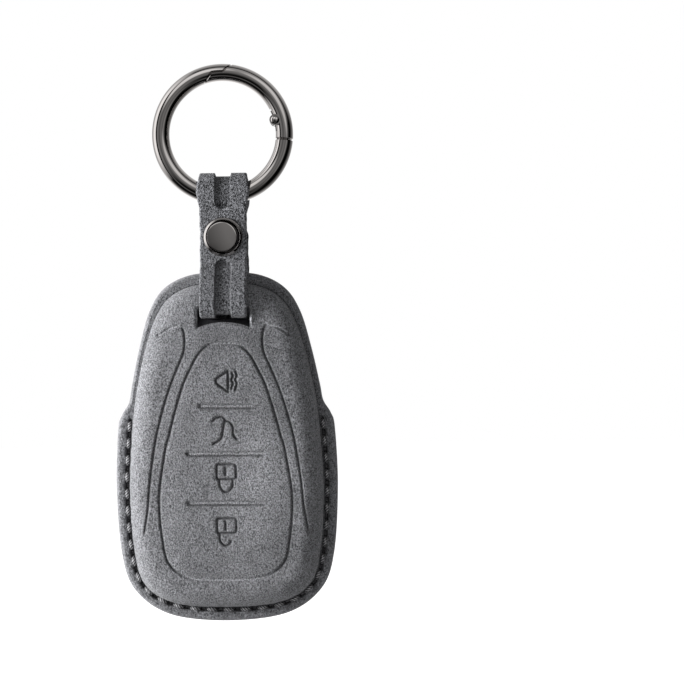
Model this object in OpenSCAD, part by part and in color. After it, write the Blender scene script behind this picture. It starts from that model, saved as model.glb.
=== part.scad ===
// Key fob cover: a moulded suede pouch in two halves, stitched round its lower edge,
// which hangs by a suede strap with a snap from a ring that opens at a sprung gate.
// Millimetres. The front faces -Y and +Z is up. The origin is the centre of the ring.

/* [Ring] */
// Inside diameter of the ring
ring_bore_d = 26.5; // [25:0.5:29]
// Diameter of the ring's wire
wire_d = 4.35; // [4.2:0.05:4.6]
// Distance from the ring's inner edge out to the middle of the gate's pin
pin_inset = 0.35; // [0.2:0.05:0.5]
// Diameter of the gate's pin
pin_d = 1.2; // [1:0.05:1.3]
// Running clearance round the gate's pin
pin_clear = 0.05; // [0.02:0.01:0.08]
// Thickness of each head of the gate's pin
pin_head_t = 0.45; // [0.3:0.05:0.6]
// Diameter of each head of the gate's pin
pin_head_d = 2.1; // [1.8:0.05:2.3]
// Diameter of the ears that turn on the pin
ear_d = 2.8; // [2.6:0.05:3]
// Width over the two ears
ear_w = 4; // [3.8:0.05:4.2]
// Width of the slot in the gate's tail
gate_slot_w = 2.4; // [2.2:0.05:2.5]
// Thickness of the wall that closes the slot on its outer side
gate_web = 1.2; // [1:0.05:1.3]
// Thickness of the eye at the end of the ring's tongue
eye_t = 1.1; // [1:0.05:1.15]
// Diameter of the eye
eye_d = 2.6; // [2.4:0.05:2.7]
// Gap between the gate and the fixed part of the ring
gate_clear = 0.1; // [0.06:0.01:0.15]
// Wire of the gate's spring
gate_spring_wire_d = 0.26; // [0.2:0.02:0.3]

/* [Strap] */
// Width of the strap
strap_w = 11.8; // [10:0.1:12]
// Thickness of the strap
strap_t = 1.85; // [1.6:0.05:2]
// Gap between the loop and the ring's wire at the wire's lowest point
loop_gap = 0.15; // [0.1:0.05:0.4]
// Height of the loop's axis above the middle of the wire
loop_rise = 0.82; // [0.6:0.02:1]
// Distance from the loop's axis down to the snap
snap_below_loop = 11.2; // [11:0.1:13]
// Distance from the middle plane to the middle of each leg at the snap
leg_offset = 3.6; // [3.5:0.05:4]
// Distance over which the front leg leaves the loop
leg_taper_l = 7.4; // [6:0.1:8]
// Distance over which the inner layer crosses under the ring
cross_l = 8; // [7.8:0.1:9]
// Distance from the snap down to the end of the inner layer
inner_end_l = 4.7; // [4:0.1:5]
// Width of the stamped channel
channel_w = 3.8; // [3:0.1:4.5]
// Depth of the stamped channel
channel_depth = 0.85; // [0.4:0.05:1]
// Radius at which a leg turns outwards below the snap
lean_bend_r = 3; // [2:0.1:4]
// Inner radius at which a leg turns into its slot
slot_bend_r = 1.425; // [1.2:0.025:1.8]
// Gap between a leg and the shoulder of the cover
wrap_gap = 0.4; // [0.3:0.05:0.8]
// Gap between a leg and the deepest face of the cover
face_gap = 0.1; // [0.05:0.05:0.5]
// Distance from the snap up to the round end of the channel over the ring
upper_channel_gap = 7.1; // [5:0.1:7.5]
// Distance from the snap down to the round end of the channel in the legs
lower_channel_gap = 5.9; // [5.2:0.1:7]
// Gap below the knuckle of the free end
knuckle_gap = 0.05; // [0.03:0.01:0.2]

/* [Snap] */
// Diameter of the cap on the front
cap_d = 9.5; // [8.5:0.1:9.6]
// Thickness of the cap at its rim
cap_t = 1; // [1:0.05:1.2]
// Width of the cap's raised rim
cap_rim_w = 1; // [0.8:0.05:1]
// Depth of the flat inside the cap's rim
cap_dish = 0.22; // [0.1:0.02:0.3]
// Diameter of the tubes that clamp the snap
post_d = 2.2; // [2:0.05:2.4]
// Outer diameter of the socket
socket_d = 6.4; // [6:0.1:6.4]
// Height of the socket
socket_t = 2.9; // [2.7:0.05:3]
// Thickness of the socket's floor
socket_floor = 0.5; // [0.4:0.05:0.6]
// Diameter of the socket's mouth
socket_bore_d = 4.5; // [4.4:0.05:4.6]
// Wire of the socket's spring
snap_wire_d = 0.45; // [0.35:0.05:0.5]
// Diameter of the groove that holds the spring
groove_d = 5.4; // [5.2:0.05:5.6]
// Diameter of the stud's head
stud_d = 3.2; // [3:0.05:3.3]
// Diameter of the stud's neck
stud_neck_d = 2.5; // [2.3:0.05:2.6]
// Height of the stud
stud_h = 2.4; // [2.2:0.05:2.5]
// Thickness of the stud's base
stud_base_t = 0.45; // [0.3:0.05:0.5]
// Diameter of the stud's base
stud_base_d = 6; // [5:0.1:6.4]
// Diameter of the post's head on the back
post_head_d = 7.6; // [7:0.1:8]
// Thickness of the post's head
post_head_t = 0.75; // [0.5:0.05:1]

/* [Cover] */
// Width of the cover over its flange
cover_w = 55.1; // [52:0.1:58]
// Height of the cover
cover_h = 86.6; // [83:0.1:90]
// Distance from the snap down to the top of the cover
cover_below_snap = 8.7; // [8.5:0.1:10]
// Depth of each half at its middle
half_depth = 9; // [8.8:0.1:11]
// Drop of the face from its middle to its shoulder
face_crown = 0.6; // [0.2:0.05:0.9]
// Radius of the shoulder
shoulder_r = 5.5; // [5:0.1:5.8]
// Thickness of the suede
skin_t = 1; // [0.8:0.05:1.1]
// Thickness of the lining
lining_t = 0.5; // [0.4:0.05:0.6]
// Half of the gap between the two halves at the top of the mouth
gape = 2.5; // [2.3:0.05:2.8]
// Radius of the flange's rounded cut edge
edge_r = 0.35; // [0.2:0.05:0.45]
// Half width of the embossed outline of the panel
emboss_half_w = 0.45; // [0.3:0.05:0.6]
// Depth of the embossed outline
emboss_depth = 0.45; // [0.2:0.05:0.6]
// Width of each slot for the strap
slot_w = 12.9; // [12.5:0.1:14]
// Height of the front slot at its middle
slot_h = 3.6; // [3.4:0.1:4]
// Drop of the front slot's lower edge from its middle to its ends
slot_sag = 1.3; // [0.8:0.1:1.8]
// Height of the rear slot
rear_slot_h = 3; // [2.9:0.1:3.4]
// Distance from the top of the cover down to the top of the slots
slot_drop = 8.8; // [8.6:0.1:9.5]
// Gap above the strap in the slots
slot_play = 0.725; // [0.6:0.025:1]

/* [Stitching] */
// Diameter of the thread
thread_d = 0.9; // [0.6:0.05:1]
// Length of one stitch
stitch_l = 2.9; // [2:0.1:3.2]
// Distance from one stitch to the next
stitch_pitch = 4.2; // [3.8:0.1:6]
// Depth of the channel that holds the stitches
seam_depth = 0.5; // [0.3:0.05:0.6]

/* [Hidden] */
$fn = 64;
suede = [0.43, 0.43, 0.45];
strap_suede = [0.4, 0.4, 0.42];
gunmetal = [0.2, 0.2, 0.22];
steel = [0.62, 0.62, 0.64];
cloth = [0.2, 0.2, 0.22];
thread_grey = [0.12, 0.12, 0.13];

// Directions on the ring, in degrees from +X towards +Z
pin_angle = 14.1;
tail_angle = -5.4;
slot_end_angle = 27;
hook_angle = 85.1;
tongue_angle = 103.6;
latch_limit_angle = 118;
latch_start_angle = 72;

// Radii on the ring
ring_in_r = ring_bore_d / 2;
ring_r = ring_in_r + wire_d / 2;
ring_out_r = ring_in_r + wire_d;
pin_r = ring_in_r + pin_inset;
pin_at = polar(pin_angle, pin_r);
latch_split_r = ring_r + gate_clear;
web_in_r = ring_out_r - gate_web;
nose_r = web_in_r - pin_r - 1.5 * gate_clear;
hook_reach = norm(polar(hook_angle, (ring_out_r + latch_split_r) / 2) - pin_at);
tongue_reach = norm(polar(tongue_angle, (ring_in_r + latch_split_r) / 2) - pin_at);
cheek_in = gate_slot_w / 2 - gate_clear / 2;
eye_front = cheek_in - eye_t;
overrun = wire_d;

// Turns, pitch and sides of the gate's spring
spring_turns = 3;
spring_steps = 10;
spring_sides = 6;
spring_pitch = gate_spring_wire_d * 1.1;
spring_r = pin_d / 2 + pin_clear + gate_spring_wire_d * 0.75;

// Heights and planes of the strap, and of the snap that it carries
loop_z = loop_rise - ring_r;
loop_in_r = loop_rise + wire_d / 2 + loop_gap;
loop_r = loop_in_r + strap_t / 2;
snap_z = loop_z - snap_below_loop;
inner_y = leg_offset - strap_t;
leg_face = leg_offset + strap_t / 2;
inner_face = inner_y - strap_t / 2;
tab_face = leg_offset - strap_t / 2;
groove_h = 1.4 * snap_wire_d;

// Heights of the cover
cover_top_z = snap_z - cover_below_snap;
half_w = cover_w / 2;
wall_t = skin_t + lining_t;
shoulder_h = half_depth - face_crown;
emboss_h = half_depth - face_crown * 0.5;
slot_top_z = cover_top_z - slot_drop;
run_z = slot_top_z - slot_play - strap_t / 2;

// Outlines of the right half of the cover from top to bottom, as shares of the
// half width and of the height below the top
outer_shares = [[0, 0], [0.309, 0.007], [0.544, 0.045], [0.682, 0.114], [0.777, 0.218],
                [0.849, 0.322], [0.878, 0.37], [0.944, 0.406], [0.98, 0.45], [1, 0.618],
                [0.958, 0.807], [0.838, 0.911], [0.526, 0.98], [0, 1]];
base_shares = [[0, 0.032], [0.29, 0.039], [0.497, 0.073], [0.624, 0.133], [0.722, 0.225],
               [0.791, 0.322], [0.817, 0.37], [0.833, 0.41], [0.846, 0.462], [0.871, 0.618],
               [0.838, 0.791], [0.74, 0.893], [0.465, 0.945], [0, 0.957]];
panel_shares = [[0, 0.203], [0.131, 0.208], [0.225, 0.233], [0.29, 0.269], [0.367, 0.321],
                [0.432, 0.387], [0.465, 0.425], [0.497, 0.465], [0.534, 0.509],
                [0.592, 0.641], [0.566, 0.76], [0.508, 0.83], [0.327, 0.874], [0, 0.885]];
// Share of the height at which the seam starts, and of the way over which it deepens
seam_start_share = 0.4;
seam_fade_share = 0.02;
// Share of the height of the loft's middle point
middle_share = 0.58;
// Shares of the flange's width at the edges and the floor of the stitched channel
channel_shares = [0.03, 0.1, 0.36, 0.43];
// Share of the flange's width at which the thread runs
thread_share = 0.23;
span_steps = 3;
shoulder_angles = [0, 18, 36, 54, 72, 90];

// A point at an angle and a radius
function polar(a, r) = [r * cos(a), r * sin(a)];

// Points along an arc
function arc(c, r, a0, a1, steps) =
    [for (i = [0:steps]) c + polar(a0 + (a1 - a0) * i / steps, r)];

// A list mirrored in its first coordinate, and a list from its end to its start
function mirrored(pts) = [for (p = pts) [-p[0], p[1]]];
function reversed(pts) = [for (i = [len(pts) - 1:-1:0]) pts[i]];

// A path moved to its right-hand side by a distance
function unit(v) = v / norm(v);
function right_of(v) = [v[1], -v[0]];
function path_dir(pts, i) =
    unit(pts[min(i + 1, len(pts) - 1)] - pts[max(i - 1, 0)]);
function moved(pts, d) = [for (i = [0:len(pts) - 1]) pts[i] + d * right_of(path_dir(pts, i))];

// The area between two parallels of a path, from one of its points to another
function part_of(pts, first, last) = [for (i = [first:last]) pts[i]];
module band(pts, d0, d1, first = 0, last = undef) {
    end = is_undef(last) ? len(pts) - 1 : last;
    polygon(concat(part_of(moved(pts, d0), first, end),
                   reversed(part_of(moved(pts, d1), first, end))));
}

// Puts a drawing in the XZ plane and gives it a depth along Y
module across(depth) {
    rotate([90, 0, 0]) linear_extrude(height = depth, center = true) children();
}

// Puts a drawing in the YZ plane and gives it a width along X
module along_x(width) {
    rotate([90, 0, 90]) linear_extrude(height = width, center = true) children();
}

// A pie slice round the ring's centre
module slice(a0, a1, r) {
    polygon(concat([[0, 0]], arc([0, 0], r, a0, a1, 6)));
}

// A length of the ring's wire
module wire_arc(a0, a1) {
    rotate([90, 0, 0]) rotate([0, 0, a0])
        rotate_extrude(angle = a1 - a0) translate([ring_r, 0]) circle(d = wire_d);
}

// A cylinder on the gate's pin axis, from one depth to another
module on_pin(r, y0, y1) {
    translate([pin_at[0], y1, pin_at[1]]) rotate([90, 0, 0]) cylinder(r = r, h = y1 - y0);
}

// The gate's side of the Z-shaped cut at the latch
module latch_side(c) {
    translate(pin_at) circle(r = hook_reach + c);
    intersection() {
        translate(pin_at) circle(r = tongue_reach + c);
        circle(r = latch_split_r + c);
    }
}

module ring_body() {
    color(gunmetal) difference() {
        union() {
            wire_arc(latch_start_angle, 360 + slot_end_angle);
            on_pin(eye_d / 2, eye_front, cheek_in);
        }
        // the latch, where the hook passes outside the gate's end
        across(wire_d + overrun) intersection() {
            latch_side(gate_clear);
            slice(latch_start_angle - slot_end_angle, latch_limit_angle, 2 * ring_out_r);
        }
        // both cheeks of the gate's tail
        for (side = [-1, 1]) translate([0, side * (cheek_in + overrun / 2), 0])
            across(overrun) slice(tail_angle, 2 * slot_end_angle, 2 * ring_out_r);
        // the wall of the gate's tail, and the round nose above the pin
        across(wire_d + overrun) difference() {
            slice(tail_angle, 2 * slot_end_angle, 2 * ring_out_r);
            intersection() {
                circle(r = web_in_r - gate_clear);
                union() {
                    slice(tail_angle, pin_angle, 2 * ring_out_r);
                    translate(pin_at) circle(r = nose_r);
                }
            }
            translate(pin_at) circle(d = eye_d);
        }
        // the spring's seat in front of the eye
        on_pin(nose_r + gate_clear, -overrun, eye_front);
        on_pin(pin_d / 2, -overrun, overrun);
    }
}

module ring_gate() {
    color(gunmetal) difference() {
        union() {
            intersection() {
                wire_arc(tail_angle + gate_clear / ring_r * 180 / PI, latch_limit_angle);
                across(wire_d + overrun) latch_side(0);
            }
            on_pin(ear_d / 2, -ear_w / 2, ear_w / 2);
        }
        across(gate_slot_w) intersection() {
            slice(-slot_end_angle, slot_end_angle, 2 * ring_out_r);
            circle(r = web_in_r);
        }
        on_pin(pin_d / 2 + pin_clear, -overrun, overrun);
    }
}

module gate_pin() {
    head_y = ear_w / 2 + pin_clear;
    color(gunmetal) {
        on_pin(pin_d / 2, -head_y, head_y);
        for (side = [-1, 1]) translate([pin_at[0], side * head_y, pin_at[1]])
            rotate([-90 * side, 0, 0]) rotate_extrude() domed_head(pin_head_d / 2, pin_head_t);
    }
}

// Half the section of a rivet's domed head
module domed_head(r, h) {
    dome_r = (r * r + h * h) / (2 * h);
    intersection() {
        square([r, h]);
        translate([0, h - dome_r]) circle(r = dome_r, $fn = 6 * $fn);
    }
}

// A tube of flat facets along a path of points in space, with closed ends
function tube_dir(pts, i) = unit(pts[min(i + 1, len(pts) - 1)] - pts[max(i - 1, 0)]);
module tube(pts, r, sides, up) {
    rings = [for (i = [0:len(pts) - 1])
        let (d = tube_dir(pts, i), u = unit(cross(d, up)), v = cross(d, u))
        for (k = [0:sides - 1]) pts[i] + r * (u * cos(360 * k / sides) + v * sin(360 * k / sides))];
    walls = [for (i = [0:len(pts) - 2]) for (k = [0:sides - 1])
        let (a = i * sides + k, b = i * sides + (k + 1) % sides)
        [a, b, b + sides, a + sides]];
    last = (len(pts) - 1) * sides;
    polyhedron(rings, concat(walls, [[for (k = [sides - 1:-1:0]) k]],
                             [[for (k = [0:sides - 1]) last + k]]));
}

module gate_spring() {
    turn_steps = spring_turns * spring_steps;
    back_y = eye_front - gate_spring_wire_d * 0.6;
    front_y = back_y - spring_turns * spring_pitch;
    lower_end = [pin_at[0] + spring_r, back_y, pin_at[1] - nose_r + gate_spring_wire_d];
    upper_at = polar(pin_angle + slot_end_angle / 3, web_in_r - gate_spring_wire_d);
    coil = [for (i = [0:turn_steps])
        let (a = 360 * i / spring_steps)
        [pin_at[0] + spring_r * cos(a), back_y - spring_pitch * i / spring_steps,
         pin_at[1] + spring_r * sin(a)]];
    color(steel) tube(concat([lower_end], coil, [[upper_at[0], front_y, upper_at[1]]]),
                      gate_spring_wire_d / 2, spring_sides, [0, 1, 0]);
}

// The strap's middle line in the YZ plane. Two opposite arcs join two upright lines.
function ess_r(dy, dz) = (dy * dy + dz * dz) / (4 * dy);
function ess_angle(dy, dz) = atan2(dz / 2, ess_r(dy, dz) - dy / 2);

slot_bend_mid_r = slot_bend_r + strap_t / 2;
bend_z = run_z + slot_bend_mid_r;
reach_y = half_depth + face_gap + strap_t / 2;
wrap_r = shoulder_r + wrap_gap + strap_t / 2;
lean = 35;
wrap_c = [reach_y - wrap_r, bend_z];
wrap_top = wrap_c + polar(lean, wrap_r);
corner_z = wrap_top[1] + (wrap_top[0] - leg_offset) / tan(lean);
lean_start_z = corner_z + lean_bend_r * tan(lean / 2);
lean_c = [leg_offset + lean_bend_r, lean_start_z];

// One leg from the point where it turns outwards to the run through the cover
wrap_path = concat(arc(wrap_c, wrap_r, lean, 0, 5),
                   arc([reach_y - slot_bend_mid_r, bend_z], slot_bend_mid_r, -10, -90, 8));
leg_path = concat(arc(lean_c, lean_bend_r, 180, 180 + lean, 4), wrap_path);

cross_dy = loop_r + inner_y;
cross_r = ess_r(cross_dy, cross_l);
cross_angle = ess_angle(cross_dy, cross_l);
cross_z = loop_z - cross_l;
inner_path = concat([[-inner_y, snap_z - inner_end_l]],
                    arc([cross_r - inner_y, cross_z], cross_r, 180, 180 - cross_angle, 8),
                    arc([loop_r - cross_r, loop_z], cross_r,
                        -cross_angle * 7 / 8, 0, 7));
taper_dy = loop_r - leg_offset;
taper_r = ess_r(taper_dy, leg_taper_l);
taper_angle = ess_angle(taper_dy, leg_taper_l);
taper_c = [taper_r - loop_r, loop_z];
taper_path = concat(arc(taper_c, taper_r, 180 + taper_angle / 2, 180 + taper_angle, 1),
                    arc([-leg_offset - taper_r, loop_z - leg_taper_l], taper_r,
                        taper_angle / 2, 0, 1));
loop_path = arc([0, loop_z], loop_r, 10, 180, 17);
front_path = mirrored(leg_path);
strap_path = concat(inner_path, loop_path, taper_path, front_path, reversed(leg_path));

upper_channel_path = concat(loop_path, taper_path);
lower_channel_path = concat(front_path, reversed(leg_path));

// Cuts the stamped channel into the outer side of a path. Its ends are round as seen
// from the front, at the height z0, and it runs on to the height z1.
module channel_cut(pts, z0, z1) {
    intersection() {
        along_x(strap_w) band(pts, strap_t / 2 - channel_depth, strap_t / 2 + channel_depth);
        across(4 * reach_y) {
            translate([0, z0]) circle(d = channel_w);
            translate([-channel_w / 2, min(z0, z1)]) square([channel_w, abs(z1 - z0)]);
        }
    }
}

// A cylinder on the snap's axis, from one depth to another
module on_snap(d, y0, y1) {
    translate([0, y1, snap_z]) rotate([90, 0, 0]) cylinder(d = d, h = y1 - y0);
}

tab_hinge_z = lean_start_z;
leg_cut_z = tab_hinge_z - strap_t / 2 - knuckle_gap;

module strap() {
    color(strap_suede) difference() {
        along_x(strap_w) {
            band(strap_path, -strap_t / 2, strap_t / 2, 0, len(inner_path));
            band(strap_path, -strap_t / 2, strap_t / 2, len(inner_path));
        }
        channel_cut(upper_channel_path, snap_z + upper_channel_gap + channel_w / 2,
                    loop_z + 2 * loop_r);
        channel_cut(lower_channel_path, snap_z - lower_channel_gap - channel_w / 2,
                    run_z - strap_t);
        // room for the knuckle of the free end
        translate([-strap_w, leg_offset - strap_t, leg_cut_z])
            cube([2 * strap_w, 2 * strap_t, 2 * strap_t]);
        on_snap(post_d, -2 * leg_face, 0);
    }
}

module strap_tab() {
    color(strap_suede) difference() {
        union() {
            translate([0, leg_offset, 0]) across(strap_t) {
                translate([-strap_w / 2, tab_hinge_z]) square([strap_w, snap_z - tab_hinge_z]);
                intersection() {
                    translate([0, snap_z]) circle(d = strap_w);
                    translate([-strap_w, snap_z]) square([2 * strap_w, strap_w]);
                }
            }
            along_x(strap_w) translate([leg_offset, tab_hinge_z]) circle(d = strap_t);
        }
        on_snap(post_d, 0, 2 * leg_face);
    }
}

// Turns a profile, drawn outwards from its foot, round the snap's axis towards the front
module snap_turned(y, side) {
    translate([0, y, snap_z]) rotate([-90 * side, 0, 0]) rotate_extrude() children();
}

module snap_cap() {
    tube_l = 2 * strap_t + socket_floor;
    color(gunmetal) snap_turned(-leg_face, -1) {
        translate([0, -tube_l]) square([post_d / 2, tube_l]);
        square([cap_d / 2 - cap_rim_w / 2, cap_t - cap_dish]);
        translate([cap_d / 2 - cap_rim_w / 2, cap_t - cap_rim_w / 2]) circle(d = cap_rim_w);
    }
}

module snap_socket() {
    groove_z = socket_t - 0.6 * socket_floor - groove_h;
    color(steel) snap_turned(-inner_face, 1) difference() {
        square([socket_d / 2, socket_t]);
        square([post_d / 2, socket_floor]);
        translate([0, socket_floor]) square([socket_bore_d / 2, socket_t]);
        translate([0, groove_z]) square([groove_d / 2, groove_h]);
        translate([socket_d / 2, socket_t]) circle(r = socket_floor);
    }
}

module snap_spring() {
    reach = groove_d / 2 - 0.6 * snap_wire_d;
    bar = stud_neck_d / 2 + 0.55 * snap_wire_d;
    end_angle = asin(bar / reach);
    bar_l = reach * cos(end_angle);
    mid_y = socket_t - 0.6 * socket_floor - groove_h / 2 - inner_face;
    color(steel) translate([0, mid_y, snap_z]) rotate([90, 0, 0]) {
        for (turn = [0, 180]) rotate([0, 0, turn]) {
            rotate([0, 0, -end_angle]) rotate_extrude(angle = 2 * end_angle)
                translate([reach, 0]) circle(d = snap_wire_d);
            translate([-bar_l, bar, 0]) rotate([0, 90, 0]) cylinder(d = snap_wire_d, h = 2 * bar_l);
            for (end = [-1, 1]) translate([end * bar_l, bar, 0]) sphere(d = snap_wire_d);
        }
    }
}

module snap_stud() {
    head_h = stud_h * 0.36;
    color(steel) snap_turned(tab_face, -1) difference() {
        union() {
            square([stud_base_d / 2, stud_base_t]);
            square([stud_neck_d / 2, stud_h - head_h]);
            translate([0, stud_h - head_h]) intersection() {
                square([stud_d / 2, head_h]);
                translate([0, head_h - stud_d]) circle(r = stud_d);
            }
        }
        square([post_d / 2, stud_base_t * 2]);
    }
}

module snap_post() {
    tube_l = strap_t + stud_base_t * 2;
    color(gunmetal) snap_turned(leg_face, 1) {
        translate([0, -tube_l]) square([post_d / 2, tube_l]);
        domed_head(post_head_d / 2, post_head_t);
    }
}

// The cover's outlines. A smooth curve passes through each table's points.
function place(share) = [share[0] * half_w, cover_top_z - share[1] * cover_h];
function curve_at(p, t) = 0.5 * (2 * p[1] + t * (p[2] - p[0])
    + t * t * (2 * p[0] - 5 * p[1] + 4 * p[2] - p[3])
    + t * t * t * (3 * p[1] - p[0] - 3 * p[2] + p[3]));
function near(pts, i) = i < 0 ? [-pts[-i][0], pts[-i][1]]
    : i >= len(pts) ? [-pts[2 * len(pts) - 2 - i][0], pts[2 * len(pts) - 2 - i][1]] : pts[i];
function half_curve(pts) = [for (i = [0:len(pts) - 2]) for (k = [0:span_steps - 1])
    curve_at([near(pts, i - 1), pts[i], pts[i + 1], near(pts, i + 2)], k / span_steps)];
function closed(pts) = let (h = half_curve(pts), last = pts[len(pts) - 1])
    concat(h, [last], [for (i = [len(h) - 1:-1:1]) [-h[i][0], h[i][1]]]);
function outline(shares) = closed([for (s = shares) place(s)]);

outer_line = outline(outer_shares);
base_line = outline(base_shares);
panel_line = outline(panel_shares);
ring_n = len(outer_line);

// An outline moved inwards, and a blend of two outlines
function inset(pts, d) = let (n = len(pts))
    [for (i = [0:n - 1]) pts[i] + d * right_of(unit(pts[(i + 1) % n] - pts[(i + n - 1) % n]))];
function mixed(a, b, share) = a * (1 - share) + b * share;

// How far the mouth stands open at a height, and how deep the stitched channel is there
function depth_share(z) = (cover_top_z - z) / cover_h;
function opened(z) = let (s = min(depth_share(z) / seam_start_share, 1))
    gape * (1 + cos(180 * s)) / 2;
function seam_at(z) =
    seam_depth * max(0, min(1, (depth_share(z) - seam_start_share) / seam_fade_share));

// A point of a half: x, the distance h from the seam, and z. The open mouth moves the
// flange out and leaves the face where it is.
function lifted(p, h, e) = let (w = min(1, max(0, (shoulder_h - e - h) / (shoulder_h - wall_t))))
    [p[0], -h - w * opened(p[1]), p[1]];
function lifted_ring(pts, h, e) = [for (p = pts) lifted(p, h, e)];
function seam_ring(share) =
    [for (p = mixed(base_line, outer_line, share)) lifted(p, wall_t - seam_at(p[1]), 0)];

// The rings of the moulded surface at a distance e inside the suede's own surface,
// from the shoulder down to the flange
function shoulder_rings(e) = [for (a = shoulder_angles)
    lifted_ring(inset(base_line, shoulder_r - (shoulder_r - e) * sin(a)),
                shoulder_h - shoulder_r + (shoulder_r - e) * cos(a), e)];

// The embossed panel of the front, and the flat of the back
front_rings = [lifted_ring(inset(panel_line, emboss_half_w), emboss_h, 0),
               lifted_ring(panel_line, emboss_h - emboss_depth, 0),
               lifted_ring(inset(panel_line, -emboss_half_w), emboss_h, 0)];
back_rings = [lifted_ring(panel_line, half_depth, 0)];

outer_rings = concat(shoulder_rings(0),
    [lifted_ring(base_line, wall_t, 0), lifted_ring(mixed(base_line, outer_line,
        channel_shares[0]), wall_t, 0), seam_ring(channel_shares[1]),
     seam_ring(channel_shares[2]), lifted_ring(mixed(base_line, outer_line,
        channel_shares[3]), wall_t, 0),
     lifted_ring(inset(outer_line, edge_r), wall_t, 0),
     lifted_ring(outer_line, wall_t - edge_r, 0)]);

function inner_rings(e) = concat(shoulder_rings(e),
    [lifted_ring(inset(base_line, e), wall_t - e, e), lifted_ring(outer_line, wall_t - e, e)]);

function middle_point(h) = [0, -h, cover_top_z - middle_share * cover_h];

// A closed shell between two stacks of rings that meet at the flange's edge
module shell(top, front, foot, back) {
    rings = concat(front, reversed(back));
    n = ring_n;
    m = len(rings);
    points = concat([top], [for (r = rings) for (p = r) p], [foot]);
    fan = [for (k = [0:n - 1]) [0, 1 + (k + 1) % n, 1 + k]];
    bands = [for (i = [0:m - 2]) for (k = [0:n - 1])
        let (a = 1 + i * n + k, b = 1 + i * n + (k + 1) % n)
        each [[a, b, b + n], [a, b + n, a + n]]];
    last = 1 + (m - 1) * n;
    cap = [for (k = [0:n - 1]) [last + n, last + k, last + (k + 1) % n]];
    polyhedron(points, concat(fan, bands, cap));
}

module slot_cut(h, sag) {
    across(4 * half_depth) polygon(concat(
        [[-slot_w / 2, slot_top_z], [slot_w / 2, slot_top_z]],
        [for (x = [1:-0.25:-1]) [x * slot_w / 2, slot_top_z - h - sag * x * x]]));
}

module skin(face_rings) {
    shell(middle_point(half_depth), concat(face_rings, outer_rings),
          middle_point(half_depth - skin_t), inner_rings(skin_t));
}

module lining() {
    shell(middle_point(half_depth - skin_t), inner_rings(skin_t),
          middle_point(half_depth - wall_t), inner_rings(wall_t));
}

module front_skin() {
    color(suede) difference() {
        skin(front_rings);
        slot_cut(slot_h, slot_sag);
    }
}

module front_lining() {
    color(cloth) difference() {
        lining();
        slot_cut(slot_h, slot_sag);
    }
}

module back_skin() {
    color(suede) mirror([0, 1, 0]) difference() {
        skin(back_rings);
        slot_cut(rear_slot_h, 0);
    }
}

module back_lining() {
    color(cloth) mirror([0, 1, 0]) difference() {
        lining();
        slot_cut(rear_slot_h, 0);
    }
}

// The thread's line round the lower edge, and how far along it each of its points lies
thread_ring = mixed(base_line, outer_line, thread_share);
thread_line = [for (p = thread_ring)
    if (depth_share(p[1]) > seam_start_share + seam_fade_share) p];
function run_to(pts, i) = i == 0 ? 0 : run_to(pts, i - 1) + norm(pts[i] - pts[i - 1]);
thread_runs = [for (i = [0:len(thread_line) - 1]) run_to(thread_line, i)];
thread_l = thread_runs[len(thread_runs) - 1];
function thread_at(s) = [for (axis = [0, 1])
    lookup(s, [for (i = [0:len(thread_line) - 1]) [thread_runs[i], thread_line[i][axis]]])];

module seam_thread() {
    count = floor((thread_l - stitch_l) / stitch_pitch);
    start = (thread_l - stitch_l - count * stitch_pitch) / 2;
    lie = wall_t - seam_depth + thread_d / 2;
    color(thread_grey) for (i = [0:count]) {
        a = thread_at(start + i * stitch_pitch);
        b = thread_at(start + i * stitch_pitch + stitch_l);
        turn = atan2(b[1] - a[1], b[0] - a[0]);
        for (side = [-1, 1]) translate([a[0], side * lie, a[1]])
            rotate([0, 90 - turn, 0]) cylinder(d = thread_d, h = norm(b - a));
    }
}

ring_body();
ring_gate();
gate_pin();
gate_spring();
strap();
strap_tab();
snap_cap();
snap_socket();
snap_spring();
snap_stud();
snap_post();
front_skin();
front_lining();
back_skin();
back_lining();
seam_thread();
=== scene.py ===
from math import asin, cos, degrees, pi, radians, sin, sqrt

import bmesh
import bpy
import numpy as np
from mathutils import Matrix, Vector


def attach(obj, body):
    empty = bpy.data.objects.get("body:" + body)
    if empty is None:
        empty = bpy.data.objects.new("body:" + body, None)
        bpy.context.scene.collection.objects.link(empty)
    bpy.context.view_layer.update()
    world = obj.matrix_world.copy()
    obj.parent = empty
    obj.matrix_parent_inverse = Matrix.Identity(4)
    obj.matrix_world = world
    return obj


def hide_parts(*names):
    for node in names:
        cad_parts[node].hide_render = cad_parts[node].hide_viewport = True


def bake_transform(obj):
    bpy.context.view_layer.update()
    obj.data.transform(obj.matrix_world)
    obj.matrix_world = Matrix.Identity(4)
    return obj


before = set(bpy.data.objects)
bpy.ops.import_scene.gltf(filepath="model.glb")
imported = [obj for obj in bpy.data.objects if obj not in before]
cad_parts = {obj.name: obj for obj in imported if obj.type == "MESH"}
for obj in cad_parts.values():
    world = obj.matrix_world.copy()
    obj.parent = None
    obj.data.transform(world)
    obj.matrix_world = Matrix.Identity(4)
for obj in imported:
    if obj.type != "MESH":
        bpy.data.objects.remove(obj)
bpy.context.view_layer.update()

MM = 0.001

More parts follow.
